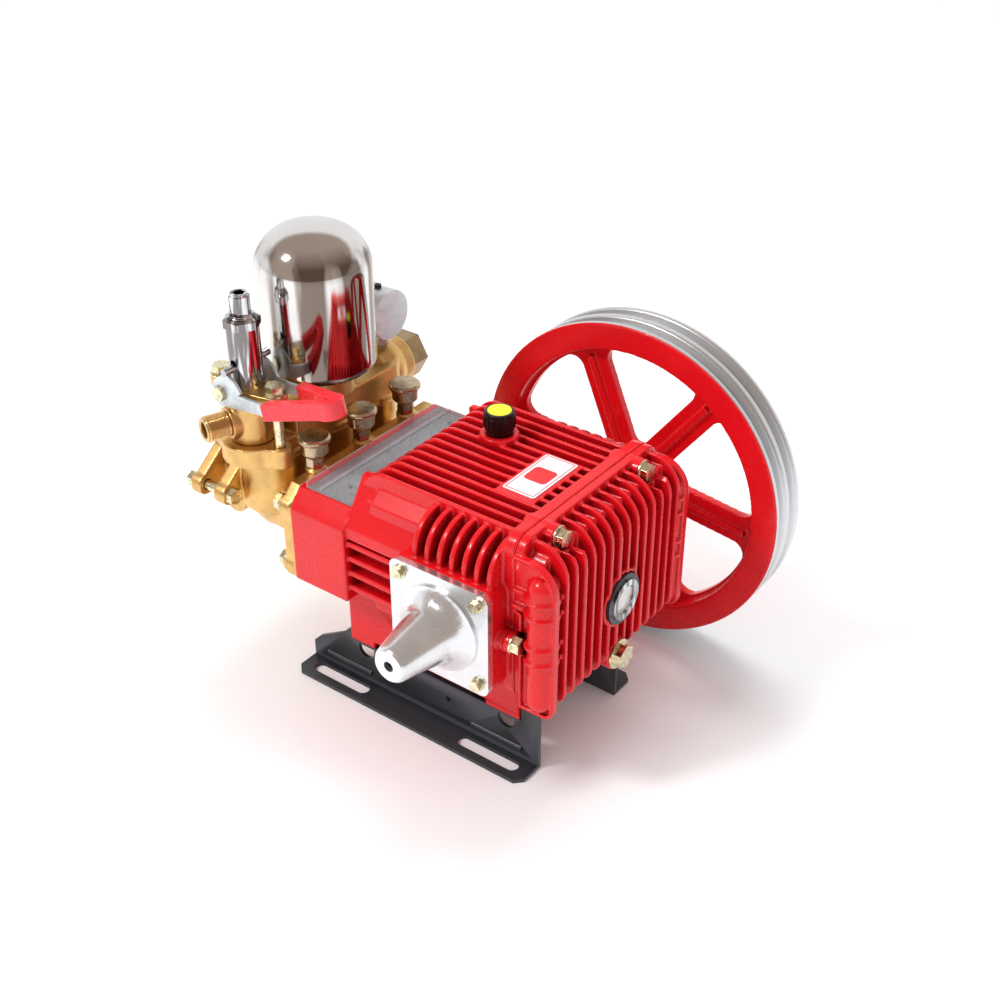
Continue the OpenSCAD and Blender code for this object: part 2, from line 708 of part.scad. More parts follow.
module grease_cups() {
  color(steel) for (y = rows) translate([cup_x, y, cup_base]) difference() {
    union() {
      translate([0, 0, -5.5]) cylinder(h = 6, r = 3);
      cylinder(h = 8, r = 7.2, $fn = 6);
      translate([0, 0, 7]) cylinder(h = 5, r = 5.4);
      translate([0, 0, 11]) cylinder(h = 8, r = 7.4);
    }
    translate([0, 0, -7]) cylinder(h = 40, r = 1.2);
  }
}
module grease_cap(i) {
  color(steel) translate([cup_x, rows[i], cup_base + 12]) difference() {
    rotate_extrude() polygon([[0, -1], [9.4, -1], [10.6, 0.4], [10.8, 9], [12.6, 9.6], [13.2, 11.2],
      [12.8, 13], [11.4, 14.2], [0, 15]]);
    translate([0, 0, -2]) cylinder(h = 13, r = 7.45);
  }
}

// ---- discharge manifold and air chamber ----
module discharge_manifold() {
  color(brass) difference() {
    union() {
      translate([tower_x, 3, 0]) run_z(tower_top, manifold_top - tower_top) round_rect(52, 150, 14);
      for (y = rows) rod_z(tower_top, 4, 28, tower_x, y);
      translate([tower_x, reg_y, 0]) run_z(tower_top, reg_seat - tower_top) lozenge(25, reg_bolt, 9);
      rod_z(manifold_top - 1, 21, 26, dome_at[0], dome_at[1]);
      rod_y(60, 34.8, 22, tower_x, 210);
      translate([tower_x, 74, 210]) sphere(24);
      rod_y(92, 22, 14, tower_x, 210);
      rod_z(manifold_top - 4, 11.6, 9, gauge_at[0], gauge_at[1]);
    }
    block(tower_x - 40, tower_x + 40, reg_y - 40, reg_y + 21, reg_seat, manifold_top + 20);
    rod_z(tower_top - 20, 16, 30, tower_x, 0);
    block(tower_x - 40, tower_x + 40, -110, 110, 150, tower_top);
    rod_y(reg_y, 184, 9, tower_x, 209);
    rod_y(110, 10, 11, tower_x, 210);
    for (y = rows) rod_z(tower_top - 1, 12, 11, tower_x, y);
    rod_z(209, 60, 8, dome_at[0], dome_at[1]);
    rod_z(209, 10, 8, tower_x, reg_y);
    rod_z(209, 40, 4.05, gauge_at[0], gauge_at[1]);
    rod_z(manifold_top + 7.6, 10, 14, gauge_at[0], gauge_at[1]);
    for (s = [-1, 1]) rod_z(tower_top - 1, 18, 4.05, tower_x + s * reg_bolt, reg_y);
    for (s = [-1, 1]) rod_z(tower_top - 1, 60, 4.05, tower_x - 21, s * pitch / 2);
  }
}
// Dome outline: a straight side, then a round shoulder and crown
crown_h = 36;
dome_at = [-139, 1.5];
function dome_profile(r, z0, z1) = concat([[r - 8, z0], [r - 2.4, z0 + 2.4], [r, z0 + 8]],
  [for (a = [0 : 6 : 90]) [r * pow(cos(a), 0.9), z1 - crown_h + crown_h * pow(sin(a), 0.9)]]);
module air_chamber() {
  z0 = manifold_top + 20;
  color("gainsboro") translate([dome_at[0], dome_at[1], 0]) difference() {
    union() {
      rotate_extrude($fn = 96) polygon(concat([[0, z0]], dome_profile(dome_r, z0, dome_top), [[0, dome_top]]));
      rod_z(z0 - 14, 15, 7.95);
    }
    rotate_extrude($fn = 96) polygon(concat([[0, z0 + 3]],
      dome_profile(dome_r - 2, z0 + 3, dome_top - 2), [[0, dome_top - 2]]));
    rod_z(z0 - 20, 40, 5);
  }
}
module union_nut() {
  color("peru") translate([tower_x, 95, 210]) rotate([-90, 0, 0]) difference() {
    cylinder(h = 18, r = 21, $fn = 6);
    translate([0, 0, -1]) cylinder(h = 20, r = 14 + gap);
  }
}

// ---- pressure regulator ----
module at_reg() { translate([tower_x, reg_y, 0]) children(); }
module regulator_body() {
  color(brass) at_reg() difference() {
    union() {
      rod_z(reg_seat, 32, 17);
      rod_z(reg_seat + 31, 7, 14);
      run_z(246, reg_top - 246) lozenge(15, reg_bolt, 9);
      translate([0, 0, outlet_z]) rotate([0, 0, -90 - outlet_turn]) {
        rod_x(6, 14, 12.5);
        rod_x(19, 20.1, outlet_r);
      }
      rod_y(-17.4, 34.8, 5, pivot[0] - tower_x, pivot[1]);
    }
    rod_z(reg_seat - 1, 40, 8);
    rod_z(reg_seat + 30, 40, 6);
    translate([0, 0, outlet_z]) rotate([0, 0, -90 - outlet_turn]) rod_x(3, 45, 6.5);
    for (s = [-1, 1]) rod_z(240, 20, 4.05, s * reg_bolt);
    both_sides() rod_y(-20, 9, 2.55, pivot[0] - tower_x, pivot[1]);
    // the spring cylinder's seat
    rod_z(reg_top, 10, tube_r + 0.1);
  }
}
module regulator_bolts() {
  color(zinc) at_reg() for (s = [-1, 1]) translate([s * reg_bolt, 0, reg_top]) hex_bolt(8, reg_top - tower_top - 1, 13, 8, 9);
}
module regulator_cylinder() {
  color("silver") at_reg() difference() {
    union() {
      rod_z(reg_top, tube_top - reg_top, tube_r);
      translate([0, 0, tube_top]) cylinder(h = 6, r = 14.4, $fn = 6);
      translate([0, 0, tube_top + 6]) cylinder(h = 2, r1 = 12.8, r2 = 11.4);
    }
    rod_z(reg_top + 10, 60, 10.6);
    rod_z(reg_top - 1, 20, 5.5);
    // slot for the lift pin
    block(-lift_pin_r - gap, lift_pin_r + gap, -20, 20, lift_pin_z, lift_pin_z + lever_lift + 0.3);
    for (z = [lift_pin_z, lift_pin_z + lever_lift + 0.3]) rod_y(-20, 40, lift_pin_r + gap, 0, z);
  }
}
module lift_pin() {
  color(steel) at_reg() {
    rod_y(-23, 46, lift_pin_r, 0, lift_pin_z);
    rod_z(lift_pin_z, 5, 9.5);
    rod_z(reg_top - 10, lift_pin_z - reg_top + 10, 5.4);
  }
}
spring_r = 7.6;
spring_wire = 1.3;
spring_low = lift_pin_z + 5 + spring_wire;
spring_high = tube_top - spring_wire - 0.2;
spring_turns = 5;
function coil(a, z0, z1, turns, r) = [r * cos(a), r * sin(a), z0 + (z1 - z0) * a / (360 * turns)];
module regulator_spring() {
  sides = 6;
  steps = 16 * spring_turns;
  ring = [for (s = [0 : steps]) let (a = 360 * spring_turns * s / steps,
      c = coil(a, spring_low, spring_high, spring_turns, spring_r))
    for (k = [0 : sides - 1]) let (b = 360 * k / sides)
      [c[0] + spring_wire * cos(b) * cos(a), c[1] + spring_wire * cos(b) * sin(a), c[2] + spring_wire * sin(b)]];
  faces = concat([[for (k = [0 : sides - 1]) k]],
    [for (s = [0 : steps - 1], k = [0 : sides - 1]) let (n = (k + 1) % sides)
      [s * sides + k, (s + 1) * sides + k, (s + 1) * sides + n, s * sides + n]],
    [[for (k = [sides - 1 : -1 : 0]) steps * sides + k]]);
  color("gray") at_reg() polyhedron(ring, faces);
}
module adjusting_screw() {
  color("silver") at_reg() difference() {
    union() {
      rod_z(tube_top, 9, 10.5);
      translate([0, 0, tube_top + 8]) cylinder(h = 16, r = 8, $fn = 6);
      rod_z(tube_top + 8, 2, 9.5);
      rod_z(tube_top + 23, 3, 6.6);
    }
    translate([0, 0, tube_top + 14]) cylinder(h = 20, r = 4.6, $fn = 6);
  }
}
// Cam edge under the lift pin: the pin's path seen from the turning lever, less the pin's radius
function cam_h(t) = lever_lift * t / lever_swing;
function cam_a(t) = atan2(lift_pin_z - pivot[1] + cam_h(t), tower_x - pivot[0]) - t;
function cam_r(t) = norm([tower_x - pivot[0], lift_pin_z - pivot[1] + cam_h(t)]) - lift_pin_r - 0.15;
module fork_plate() {
  translate(pivot) {
    translate([0, -1]) circle(10);
    polygon(concat([[0, -8]], [for (t = [lever_swing + 6 : -4 : -10]) [cam_r(t) * cos(cam_a(t)), cam_r(t) * sin(cam_a(t))]],
      [[-7, 8]]));
    polygon([[0, -11], [grip_start - 1.2, -5.5], [grip_start - 1.2, 3], [18, 3], [0, 4]]);
  }
}
module in_grip() {
  translate([pivot[0] + grip_start, reg_y, pivot[1] - 1.3]) rotate([0, -grip_slope, 0]) children();
}
// Steel strips inside the grip: from the fork's width in to the round end
strip_end = grip_len - 12;
module strips(t, start, stop) {
  for (s = [-1, 1]) scale([1, s]) {
    y0 = fork_in + fork_t / 2;
    y1 = 5.5;
    slope = (y0 - y1) / strip_end;
    polygon([[start, y0 - slope * start - t], [start, y0 - slope * start + t],
      [stop, y0 - slope * stop + t], [stop, y0 - slope * stop - t]]);
  }
}
// The two strips and the bar that joins them, with room around them if wanted
module steel_loop(room, start) {
  strips(fork_t / 2 + room, start, strip_end + 2 + room);
  translate([strip_end + 0.5 - room, -6.5 - room]) square([2.5 + 2 * room, 13 + 2 * room]);
}
module release_lever() {
  color(steel) difference() {
    union() {
      for (s = [-1, 1]) translate([0, reg_y + s * (fork_in + fork_t / 2) - fork_t / 2, 0]) run_y(0, fork_t) fork_plate();
      in_grip() run_z(-4, 8) steel_loop(0, -4);
    }
    rod_y(reg_y - 30, 60, 4.05, pivot[0], pivot[1]);
  }
}
module lever_screws() {
  color(zinc) for (s = [-1, 1]) translate([pivot[0], reg_y, pivot[1]]) rotate([s * 90, 0, 0]) {
    translate([0, 0, 17.42]) cylinder(h = 2.8, r = 4);
    translate([0, 0, 20.2]) cylinder(h = 3.2, r = 6.2, $fn = 6);
    translate([0, 0, 11]) cylinder(h = 7, r = 2.5);
  }
}
module lever_grip() {
  color([0.93, 0.16, 0.18]) in_grip() difference() {
    union() {
      run_z(-6.5, 13) strips(5, 0.5, strip_end);
      translate([strip_end, 0, 0]) rod_z(-7, 14, 10.6);
    }
    translate([strip_end - 3, 0, 0]) rod_z(-8, 16, 2);
    run_z(-4.05, 8.1) steel_loop(gap, -5);
  }
}

// ---- pressure gauge ----
module at_gauge() { translate(gauge_at) children(); }
module gauge_case() {
  color("gainsboro") at_gauge() difference() {
    union() {
      rod_x(-13, 26, gauge_r);
      rod_x(-15, 3, gauge_r + 1);
      translate([0, 0, -28.8]) cylinder(h = 10, r = 7, $fn = 6);
      rod_z(-35, 18, 4);
    }
    rod_x(-16, 6.5, gauge_r - 1.8);
    rod_x(-10, 3, 0.9);
    rod_z(gauge_r - 4, 12, 3);
  }
  color(black) at_gauge() rod_z(gauge_r - 3.9, 6.5, 2.9);
}
module gauge_needle() {
  color("black") at_gauge() translate([-9.5, 0, 0]) rotate([-135, 0, 0]) {
    rod_x(-2.4, 2.3, 2.2);
    rod_x(-0.2, 2.2, 0.8);
    run_x(-1.6, 0.7) polygon([[-1.1, -5], [1.1, -5], [0.4, 15], [-0.4, 15]]);
  }
}
module gauge_lens() { color("white", 0.3) at_gauge() rod_x(-15, 1.6, gauge_r - 1.9); }

// ---- small parts on the crankcase ----
module oil_cap() {
  color(black) translate([cap_at[0], cap_at[1], 224]) difference() {
    union() {
      rotate_extrude() polygon([[0, 0.02], [9.6, 0.02], [11, 2], [11.4, 5], [11.4, 18], [10.6, 18.6], [0, 18.6]]);
      run_z(6, 9) {
        circle(11.6);
        for (a = [0 : 20 : 340]) rotate(a) translate([11.4, 0]) circle(1);
      }
      translate([0, 0, -14]) cylinder(h = 15, r = 9);
    }
    translate([0, 0, 17.6]) cylinder(h = 3, r = 9.2);
  }
  color("yellow") translate([cap_at[0], cap_at[1], 224]) rod_z(17.62, 1.2, 9.1);
}
module nameplate() {
  color("whitesmoke") translate([plate_at[0], plate_at[1], 0]) run_z(fin_top, 0.8)
    round_rect(plate_size[0], plate_size[1], 2);
}

base_rail_left();
base_rail_right();
rail_bolts();
crankcase();
rear_cover();
cover_gasket();
cover_bolts();
shaft_cover();
bearing_cap();
bearing_screws();
shaft_seal();
bearing_outer_races();
bearing_inner_races();
crankshaft();
flywheel_key();
flywheel();
flywheel_nut();
conrod(0);  // conrod_1
conrod(1);  // conrod_2
conrod(2);  // conrod_3
wrist_pin(0);  // wrist_pin_1
wrist_pin(1);  // wrist_pin_2
wrist_pin(2);  // wrist_pin_3
crosshead(0);  // crosshead_1
crosshead(1);  // crosshead_2
crosshead(2);  // crosshead_3
plunger(0);  // plunger_1
plunger(1);  // plunger_2
plunger(2);  // plunger_3
oil_seals();
packings();
gland_nuts();
drip_cover();
cylinder_block();
head_bolts();
suction_head();
check_valves();
grease_cups();
grease_cap(0);  // grease_cap_1
grease_cap(1);  // grease_cap_2
grease_cap(2);  // grease_cap_3
discharge_manifold();
air_chamber();
union_nut();
regulator_body();
regulator_bolts();
regulator_cylinder();
regulator_spring();
adjusting_screw();
lift_pin();
release_lever();
lever_screws();
lever_grip();
gauge_case();
gauge_needle();
gauge_lens();
oil_cap();
sight_glass();
drain_plug();
nameplate();
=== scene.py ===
"""Looks of a three-plunger pressure washer pump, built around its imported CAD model. All in metres."""

import json
import math

import bmesh
import bpy
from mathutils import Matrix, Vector

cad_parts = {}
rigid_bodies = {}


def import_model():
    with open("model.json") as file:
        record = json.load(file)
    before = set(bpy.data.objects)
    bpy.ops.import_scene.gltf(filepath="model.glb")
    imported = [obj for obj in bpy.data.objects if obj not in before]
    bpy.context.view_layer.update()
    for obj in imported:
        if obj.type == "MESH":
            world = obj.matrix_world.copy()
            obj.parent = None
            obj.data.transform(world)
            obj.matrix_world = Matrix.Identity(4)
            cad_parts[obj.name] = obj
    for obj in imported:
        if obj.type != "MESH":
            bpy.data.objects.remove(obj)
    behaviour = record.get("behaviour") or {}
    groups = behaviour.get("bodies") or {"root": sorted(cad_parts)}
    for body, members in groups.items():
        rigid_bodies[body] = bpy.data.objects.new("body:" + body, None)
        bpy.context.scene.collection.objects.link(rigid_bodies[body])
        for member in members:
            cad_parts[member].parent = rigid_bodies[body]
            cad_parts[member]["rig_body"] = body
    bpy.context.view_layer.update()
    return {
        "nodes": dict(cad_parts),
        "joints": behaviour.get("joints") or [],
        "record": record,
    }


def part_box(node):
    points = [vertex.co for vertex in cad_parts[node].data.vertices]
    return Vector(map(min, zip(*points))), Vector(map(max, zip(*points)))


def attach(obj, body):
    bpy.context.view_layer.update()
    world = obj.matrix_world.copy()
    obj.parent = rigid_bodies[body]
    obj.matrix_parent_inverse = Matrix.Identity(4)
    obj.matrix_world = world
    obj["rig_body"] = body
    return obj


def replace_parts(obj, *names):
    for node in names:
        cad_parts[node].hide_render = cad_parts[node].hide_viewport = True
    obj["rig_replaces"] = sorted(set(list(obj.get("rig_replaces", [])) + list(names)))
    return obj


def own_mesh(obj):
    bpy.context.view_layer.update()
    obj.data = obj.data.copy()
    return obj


MM = 0.001
QUARTER = math.pi / 2
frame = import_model()
nodes = frame["nodes"]
joints = {j["name"]: j for j in frame["joints"]}
slots = {s["node"]: s["material_slot"] for s in frame["record"]["subparts"]}


# ---- materials ----
def linear(color):
    """A given colour, as the shader wants it."""
    return [c / 12.92 if c <= 0.04045 else ((c + 0.055) / 1.055) ** 2.4 for c in color[:3]] + [1]


def link_math(tree, operation, a, b=None, clamp=False):
    n = tree.nodes.new("ShaderNodeMath")
    n.operation = operation
    n.use_clamp = clamp
    for i, v in enumerate((a, b)):
        if isinstance(v, (int, float)):
            n.inputs[i].default_value = v
        elif v is not None:
            tree.links.new(v, n.inputs[i])
    return n.outputs[0]


def spread(tree, value, low, high, start=0.3, end=0.7):
    """Takes a noise value from start..end to low..high."""
    n = tree.nodes.new("ShaderNodeMapRange")
    tree.links.new(value, n.inputs["Value"])
    for name, v in (("From Min", start), ("From Max", end), ("To Min", low), ("To Max", high)):
        n.inputs[name].default_value = v
    return n.outputs["Result"]


def mix_color(tree, factor, a, b):
    n = tree.nodes.new("ShaderNodeMix")
    n.data_type = "RGBA"
    tree.links.new(factor, n.inputs["Factor"])
    for socket, v in ((n.inputs["A"], a), (n.inputs["B"], b)):
        if isinstance(v, list):
            socket.default_value = v
        else:
            tree.links.new(v, socket)
    return n.outputs["Result"]


def noise_at(tree, size_mm, detail=3, stretch=(1, 1, 1)):
    """Noise whose grains are about size_mm across, in the object's own space."""
    coord = tree.nodes.new("ShaderNodeTexCoord")
    mapping = tree.nodes.new("ShaderNodeMapping")
    mapping.inputs["Scale"].default_value = [s / (size_mm * MM) for s in stretch]
    noise = tree.nodes.new("ShaderNodeTexNoise")
    noise.inputs["Scale"].default_value = 1
    noise.inputs["Detail"].default_value = detail
    tree.links.new(coord.outputs["Object"], mapping.inputs["Vector"])
    tree.links.new(mapping.outputs["Vector"], noise.inputs["Vector"])
    return noise.outputs["Fac"]


STREAK_FADE = 12 * MM
OCCLUSION_SAMPLES = 16
COAT_ROUGHNESS = 0.06


def surface(name, color, metallic=0.0, roughness=0.4, shade=0.08, patch=14, grain=0.8, bump=0.02,
            stretch=(1, 1, 1), coat=0.0, painted_shade=None, reach=4, edge=None, alpha=1.0, painted_reflection_streaks=None,
            vary=0.25, specular=0.5):
    """One procedural material: blotches of patch mm, a grain of grain mm with a relief of bump mm,
    painted shade in crevices from ambient occlusion (looking reach mm around) and worn edges where those
    colours are given, and painted reflections as dark streaks given as (colour, width in mm, height where
    they end). The roughness varies by the part vary."""
    mat = bpy.data.materials.new(name)
    mat.use_nodes = True
    tree = mat.node_tree
    shader = tree.nodes["Principled BSDF"]
    dark = linear([c * (1 - shade) for c in color])
    light = linear([min(1, c * (1 + shade)) for c in color])
    tone = mix_color(tree, spread(tree, noise_at(tree, patch), 0, 1), dark, light)
    # painted reflection: dark vertical streaks, fading out towards the given height, stand in for a dim
    # room reflected in polished metal
    if painted_reflection_streaks:
        reflection_colour, width, end = painted_reflection_streaks
        upright = spread(tree, noise_at(tree, width, 2, (1, 1, 0.06)), 0, 1, 0.44, 0.56)
        place = tree.nodes.new("ShaderNodeSeparateXYZ")
        tree.links.new(tree.nodes.new("ShaderNodeTexCoord").outputs["Object"], place.inputs[0])
        fade = spread(tree, place.outputs["Z"], 1, 0, end - STREAK_FADE, end)
        tone = mix_color(tree, link_math(tree, "MULTIPLY", upright, fade), tone, linear(reflection_colour))
    # painted shade: where ambient occlusion finds surfaces within reach mm, the colour darkens towards the
    # given shade colour
    if painted_shade:
        occlusion_for_shade = tree.nodes.new("ShaderNodeAmbientOcclusion")
        occlusion_for_shade.samples = OCCLUSION_SAMPLES
        occlusion_for_shade.inputs["Distance"].default_value = reach * MM
        depth = spread(tree, occlusion_for_shade.outputs["AO"], 0.95, 0, 0.08, 0.62)
        tone = mix_color(tree, depth, tone, linear(painted_shade))
    if edge:
        curve = tree.nodes.new("ShaderNodeNewGeometry").outputs["Pointiness"]
        tone = mix_color(tree, spread(tree, curve, 0, 0.8, 0.52, 0.60), tone, linear(edge))
    tree.links.new(tone, shader.inputs["Base Color"])
    fine = noise_at(tree, grain, 3, stretch)
    rough = spread(tree, fine, roughness * (1 - vary), roughness * (1 + vary))
    tree.links.new(rough, shader.inputs["Roughness"])
    relief = tree.nodes.new("ShaderNodeBump")
    relief.inputs["Distance"].default_value = bump * MM
    tree.links.new(fine, relief.inputs["Height"])
    tree.links.new(relief.outputs["Normal"], shader.inputs["Normal"])
    shader.inputs["Metallic"].default_value = metallic
    shader.inputs["Specular IOR Level"].default_value = specular
    shader.inputs["Coat Weight"].default_value = coat
    shader.inputs["Coat Roughness"].default_value = COAT_ROUGHNESS
    shader.inputs["Alpha"].default_value = alpha
    return mat


def copied_shader(tree, source):
    """Copies the nodes of a material into another tree, and gives its shader there."""
    copies = {}
    for n in source.node_tree.nodes:
        if n.type == "OUTPUT_MATERIAL":
            continue
        c = tree.nodes.new(n.bl_idname)
        copies[n.name] = c
        for prop in ("operation", "use_clamp", "data_type", "samples"):
            if hasattr(n, prop):
                setattr(c, prop, getattr(n, prop))
        for i, s in enumerate(n.inputs):
            if hasattr(s, "default_value"):
                c.inputs[i].default_value = s.default_value
    for l in source.node_tree.links:
        if l.to_node.name in copies:
            out = [s.identifier for s in l.from_node.outputs].index(l.from_socket.identifier)
            into = [s.identifier for s in l.to_node.inputs].index(l.to_socket.identifier)
            tree.links.new(copies[l.from_node.name].outputs[out], copies[l.to_node.name].inputs[into])
    return copies["Principled BSDF"]


def wheel_surface(name, paint, bare, centre, inner_r, front_y):
    """Red paint, with bare turned metal outside inner_r and behind front_y, round the wheel's axis."""
    mat = bpy.data.materials.new(name)
    mat.use_nodes = True
    tree = mat.node_tree
    tree.nodes.remove(tree.nodes["Principled BSDF"])
    shaders = [copied_shader(tree, source) for source in (paint, bare)]
    split = tree.nodes.new("ShaderNodeSeparateXYZ")
    tree.links.new(tree.nodes.new("ShaderNodeTexCoord").outputs["Object"], split.inputs[0])
    dx = link_math(tree, "SUBTRACT", split.outputs["X"], centre.x)
    dz = link_math(tree, "SUBTRACT", split.outputs["Z"], centre.z)
    squares = link_math(tree, "ADD", link_math(tree, "MULTIPLY", dx, dx),
                        link_math(tree, "MULTIPLY", dz, dz))
    outside = link_math(tree, "GREATER_THAN", squares, inner_r ** 2)
    behind = link_math(tree, "GREATER_THAN", split.outputs["Y"], front_y)
    blend = tree.nodes.new("ShaderNodeMixShader")
    tree.links.new(link_math(tree, "MULTIPLY", outside, behind), blend.inputs[0])
    for i, s in enumerate(shaders):
        tree.links.new(s.outputs[0], blend.inputs[i + 1])
    tree.links.new(blend.outputs[0], tree.nodes["Material Output"].inputs["Surface"])
    return mat


RED = (0.85, 0.06, 0.10)
BARE_RIM, BARE_FROM = 10 * MM, 16.8 * MM
wheel_centre = Vector(joints["crank_turn"]["pos_m"])
wheel_low, wheel_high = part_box("flywheel")
wheel_r = (wheel_high.x - wheel_low.x) / 2
# the red paint carries painted shade, a dark maroon, in its fin gaps and crevices within 12 mm
red_paint = surface("red_paint", RED, roughness=0.28, shade=0.03, patch=40, grain=4.0, bump=0.002,
                    vary=0.06, coat=0.25, specular=0.3, painted_shade=(0.26, 0.0, 0.02), reach=12)
turned_rim = surface("turned_rim", (0.84, 0.85, 0.86), 1.0, 0.34, shade=0.03, patch=80, grain=2.0,
                     bump=0.002, stretch=(0.05, 2, 0.05), vary=0.1)
surfaces = {
    "red_paint": red_paint,
    "wheel_paint": wheel_surface("wheel_paint", red_paint, turned_rim, wheel_centre, wheel_r - BARE_RIM,
                                 wheel_low.y + BARE_FROM),
    "black_paint": surface("black_paint", (0.10, 0.11, 0.13), roughness=0.38, shade=0.15, grain=0.5,
                           bump=0.02, edge=(0.30, 0.31, 0.34)),
    # brass, machined brass, zinc bolts and nickel: painted shade darkens their crevices
    "brass": surface("brass", (0.88, 0.72, 0.46), 1.0, 0.38, shade=0.06, patch=12, grain=0.9, bump=0.04,
                     painted_shade=(0.42, 0.28, 0.14), edge=(0.97, 0.87, 0.66)),
    "machined_brass": surface("machined_brass", (0.89, 0.74, 0.50), 1.0, 0.24, shade=0.06, grain=0.6,
                              bump=0.01, painted_shade=(0.50, 0.34, 0.14)),
    "bronze": surface("bronze", (0.62, 0.52, 0.40), 1.0, 0.42, shade=0.12, patch=6, grain=0.5, bump=0.02,
                      edge=(0.80, 0.70, 0.52)),
    "zinc_bolt": surface("zinc_bolt", (0.88, 0.85, 0.72), 1.0, 0.25, shade=0.14, patch=3, grain=0.4,
                         bump=0.01, painted_shade=(0.42, 0.33, 0.16)),
    "zinc_plate": surface("zinc_plate", (0.80, 0.83, 0.85), 0.65, 0.38, shade=0.08, patch=5, grain=0.5,
                          bump=0.01, edge=(0.93, 0.95, 0.97)),
    "silver_casting": surface("silver_casting", (0.90, 0.91, 0.92), 0.9, 0.22, shade=0.03, patch=22,
                              grain=1.5, bump=0.003),
    # polished stainless and chrome: painted reflections as dark vertical streaks
    "polished_stainless": surface("polished_stainless", (0.88, 0.87, 0.86), 1.0, 0.09, shade=0.03,
                                  patch=30, grain=3.0, bump=0.006, stretch=(1, 1, 0.1),
                                  painted_reflection_streaks=((0.50, 0.45, 0.42), 17, 0.352)),
    "chrome": surface("chrome", (0.88, 0.89, 0.91), 1.0, 0.10, shade=0.03, grain=2.5, bump=0.004,
                      stretch=(1, 1, 0.25), painted_reflection_streaks=((0.52, 0.50, 0.50), 4, 0.400)),
    "nickel": surface("nickel", (0.76, 0.69, 0.58), 1.0, 0.27, shade=0.08, patch=5, grain=0.8, bump=0.006,
                      painted_shade=(0.44, 0.36, 0.26), reach=2),
    "gauge_steel": surface("gauge_steel", (0.84, 0.85, 0.86), 0.8, 0.38, shade=0.04, patch=8, grain=0.5,
                           bump=0.01),
    "ground_steel": surface("ground_steel", (0.74, 0.75, 0.77), 1.0, 0.20, shade=0.04, grain=0.4,
                            bump=0.006, stretch=(1, 1, 6)),
    "forged_steel": surface("forged_steel", (0.34, 0.35, 0.37), 0.9, 0.50, shade=0.15, grain=0.8,
                            bump=0.06),
    "cast_iron": surface("cast_iron", (0.36, 0.36, 0.38), 0.8, 0.45, shade=0.12, grain=0.6, bump=0.03),
    "ceramic": surface("ceramic", (0.93, 0.92, 0.89), 0.0, 0.12, shade=0.02, grain=0.6, bump=0.003),
    "black_rubber": surface("black_rubber", (0.06, 0.06, 0.065), 0.0, 0.60, shade=0.2, grain=0.5,
                            bump=0.03),
    "packing": surface("packing", (0.62, 0.50, 0.36), 0.0, 0.75, shade=0.15, grain=0.6, bump=0.08),
    "gasket": surface("gasket", (0.88, 0.10, 0.13), 0.0, 0.50, shade=0.15, grain=0.6, bump=0.05),
    "clear_plastic": surface("clear_plastic", (0.94, 0.96, 0.98), 0.0, 0.06, shade=0.02, grain=3, bump=0.01,
                             alpha=0.14),
    "red_vinyl": surface("red_vinyl", (0.95, 0.20, 0.24), 0.0, 0.27, shade=0.04, patch=12, grain=1.5,
                         bump=0.004, coat=0.3),
    "dark_ring": surface("dark_ring", (0.30, 0.31, 0.33), 0.7, 0.35, shade=0.2, patch=4, grain=0.5,
                         bump=0.02),
    "black_plastic": surface("black_plastic", (0.045, 0.045, 0.05), 0.0, 0.30, shade=0.2, grain=0.5,
                             bump=0.02),
    "plate": surface("plate", (0.93, 0.94, 0.95), 0.35, 0.30, shade=0.02, grain=0.4, bump=0.004,
                     stretch=(0.1, 3, 1)),
}
yellow_disc = surface("yellow_disc", (0.98, 0.93, 0.10), 0.0, 0.35, shade=0.05, grain=0.8, bump=0.02)
dial_white = surface("dial_white", (0.95, 0.95, 0.94), 0.0, 0.45, shade=0.02, grain=0.5, bump=0.003)
plate_red = surface("plate_red", (0.85, 0.10, 0.12), 0.0, 0.35, shade=0.04, grain=0.5, bump=0.004)
oil_glass = surface("oil_glass", (0.88, 0.86, 0.84), 0.1, 0.12, shade=0.06, patch=5, grain=1.0, bump=0.02,
                    coat=0.8)


# ---- making pieces ----
def dress(obj, *materials):
    obj.data.materials.clear()
    for m in materials:
        obj.data.materials.append(m)


def merged(mesh):
    """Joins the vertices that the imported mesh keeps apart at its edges."""
    bm = bmesh.new()
    bm.from_mesh(mesh)
    bmesh.ops.remove_doubles(bm, verts=bm.verts, dist=1e-6)
    bm.to_mesh(mesh)
    bm.free()


def baked(obj):
    """Applies the object's modifiers to its mesh."""
    bpy.context.view_layer.update()
    graph = bpy.context.evaluated_depsgraph_get()
    mesh = bpy.data.meshes.new_from_object(obj.evaluated_get(graph))
    obj.modifiers.clear()
    obj.data = mesh
    return obj


def new_piece(name, mesh, body, material_slot, *materials):
    obj = bpy.data.objects.new(name, mesh)
    bpy.context.scene.collection.objects.link(obj)
    dress(obj, *materials)
    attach(obj, body)
    return obj


def cast_skin(node, voxel_mm, passes, keep, reshape=None):
    """A cast version of a CAD node: the same shape with every edge and corner rounded as in a mould."""
    source = nodes[node]
    mesh = source.data.copy()
    merged(mesh)
    if reshape:
        reshape(mesh)
    obj = new_piece(node + "_cast", mesh, source["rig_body"], slots[node], surfaces[slots[node]])
    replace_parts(obj, node)
    remesh = obj.modifiers.new("remesh", "REMESH")
    remesh.mode = "VOXEL"
    remesh.voxel_size = voxel_mm * MM * 1
    smooth = obj.modifiers.new("smooth", "SMOOTH")
    smooth.factor = 0.5
    smooth.iterations = passes
    fewer = obj.modifiers.new("fewer", "DECIMATE")
    fewer.ratio = keep
    baked(obj)
    dress(obj, surfaces[slots[node]])
    obj.data.polygons.foreach_set("use_smooth", [True] * len(obj.data.polygons))
    return obj


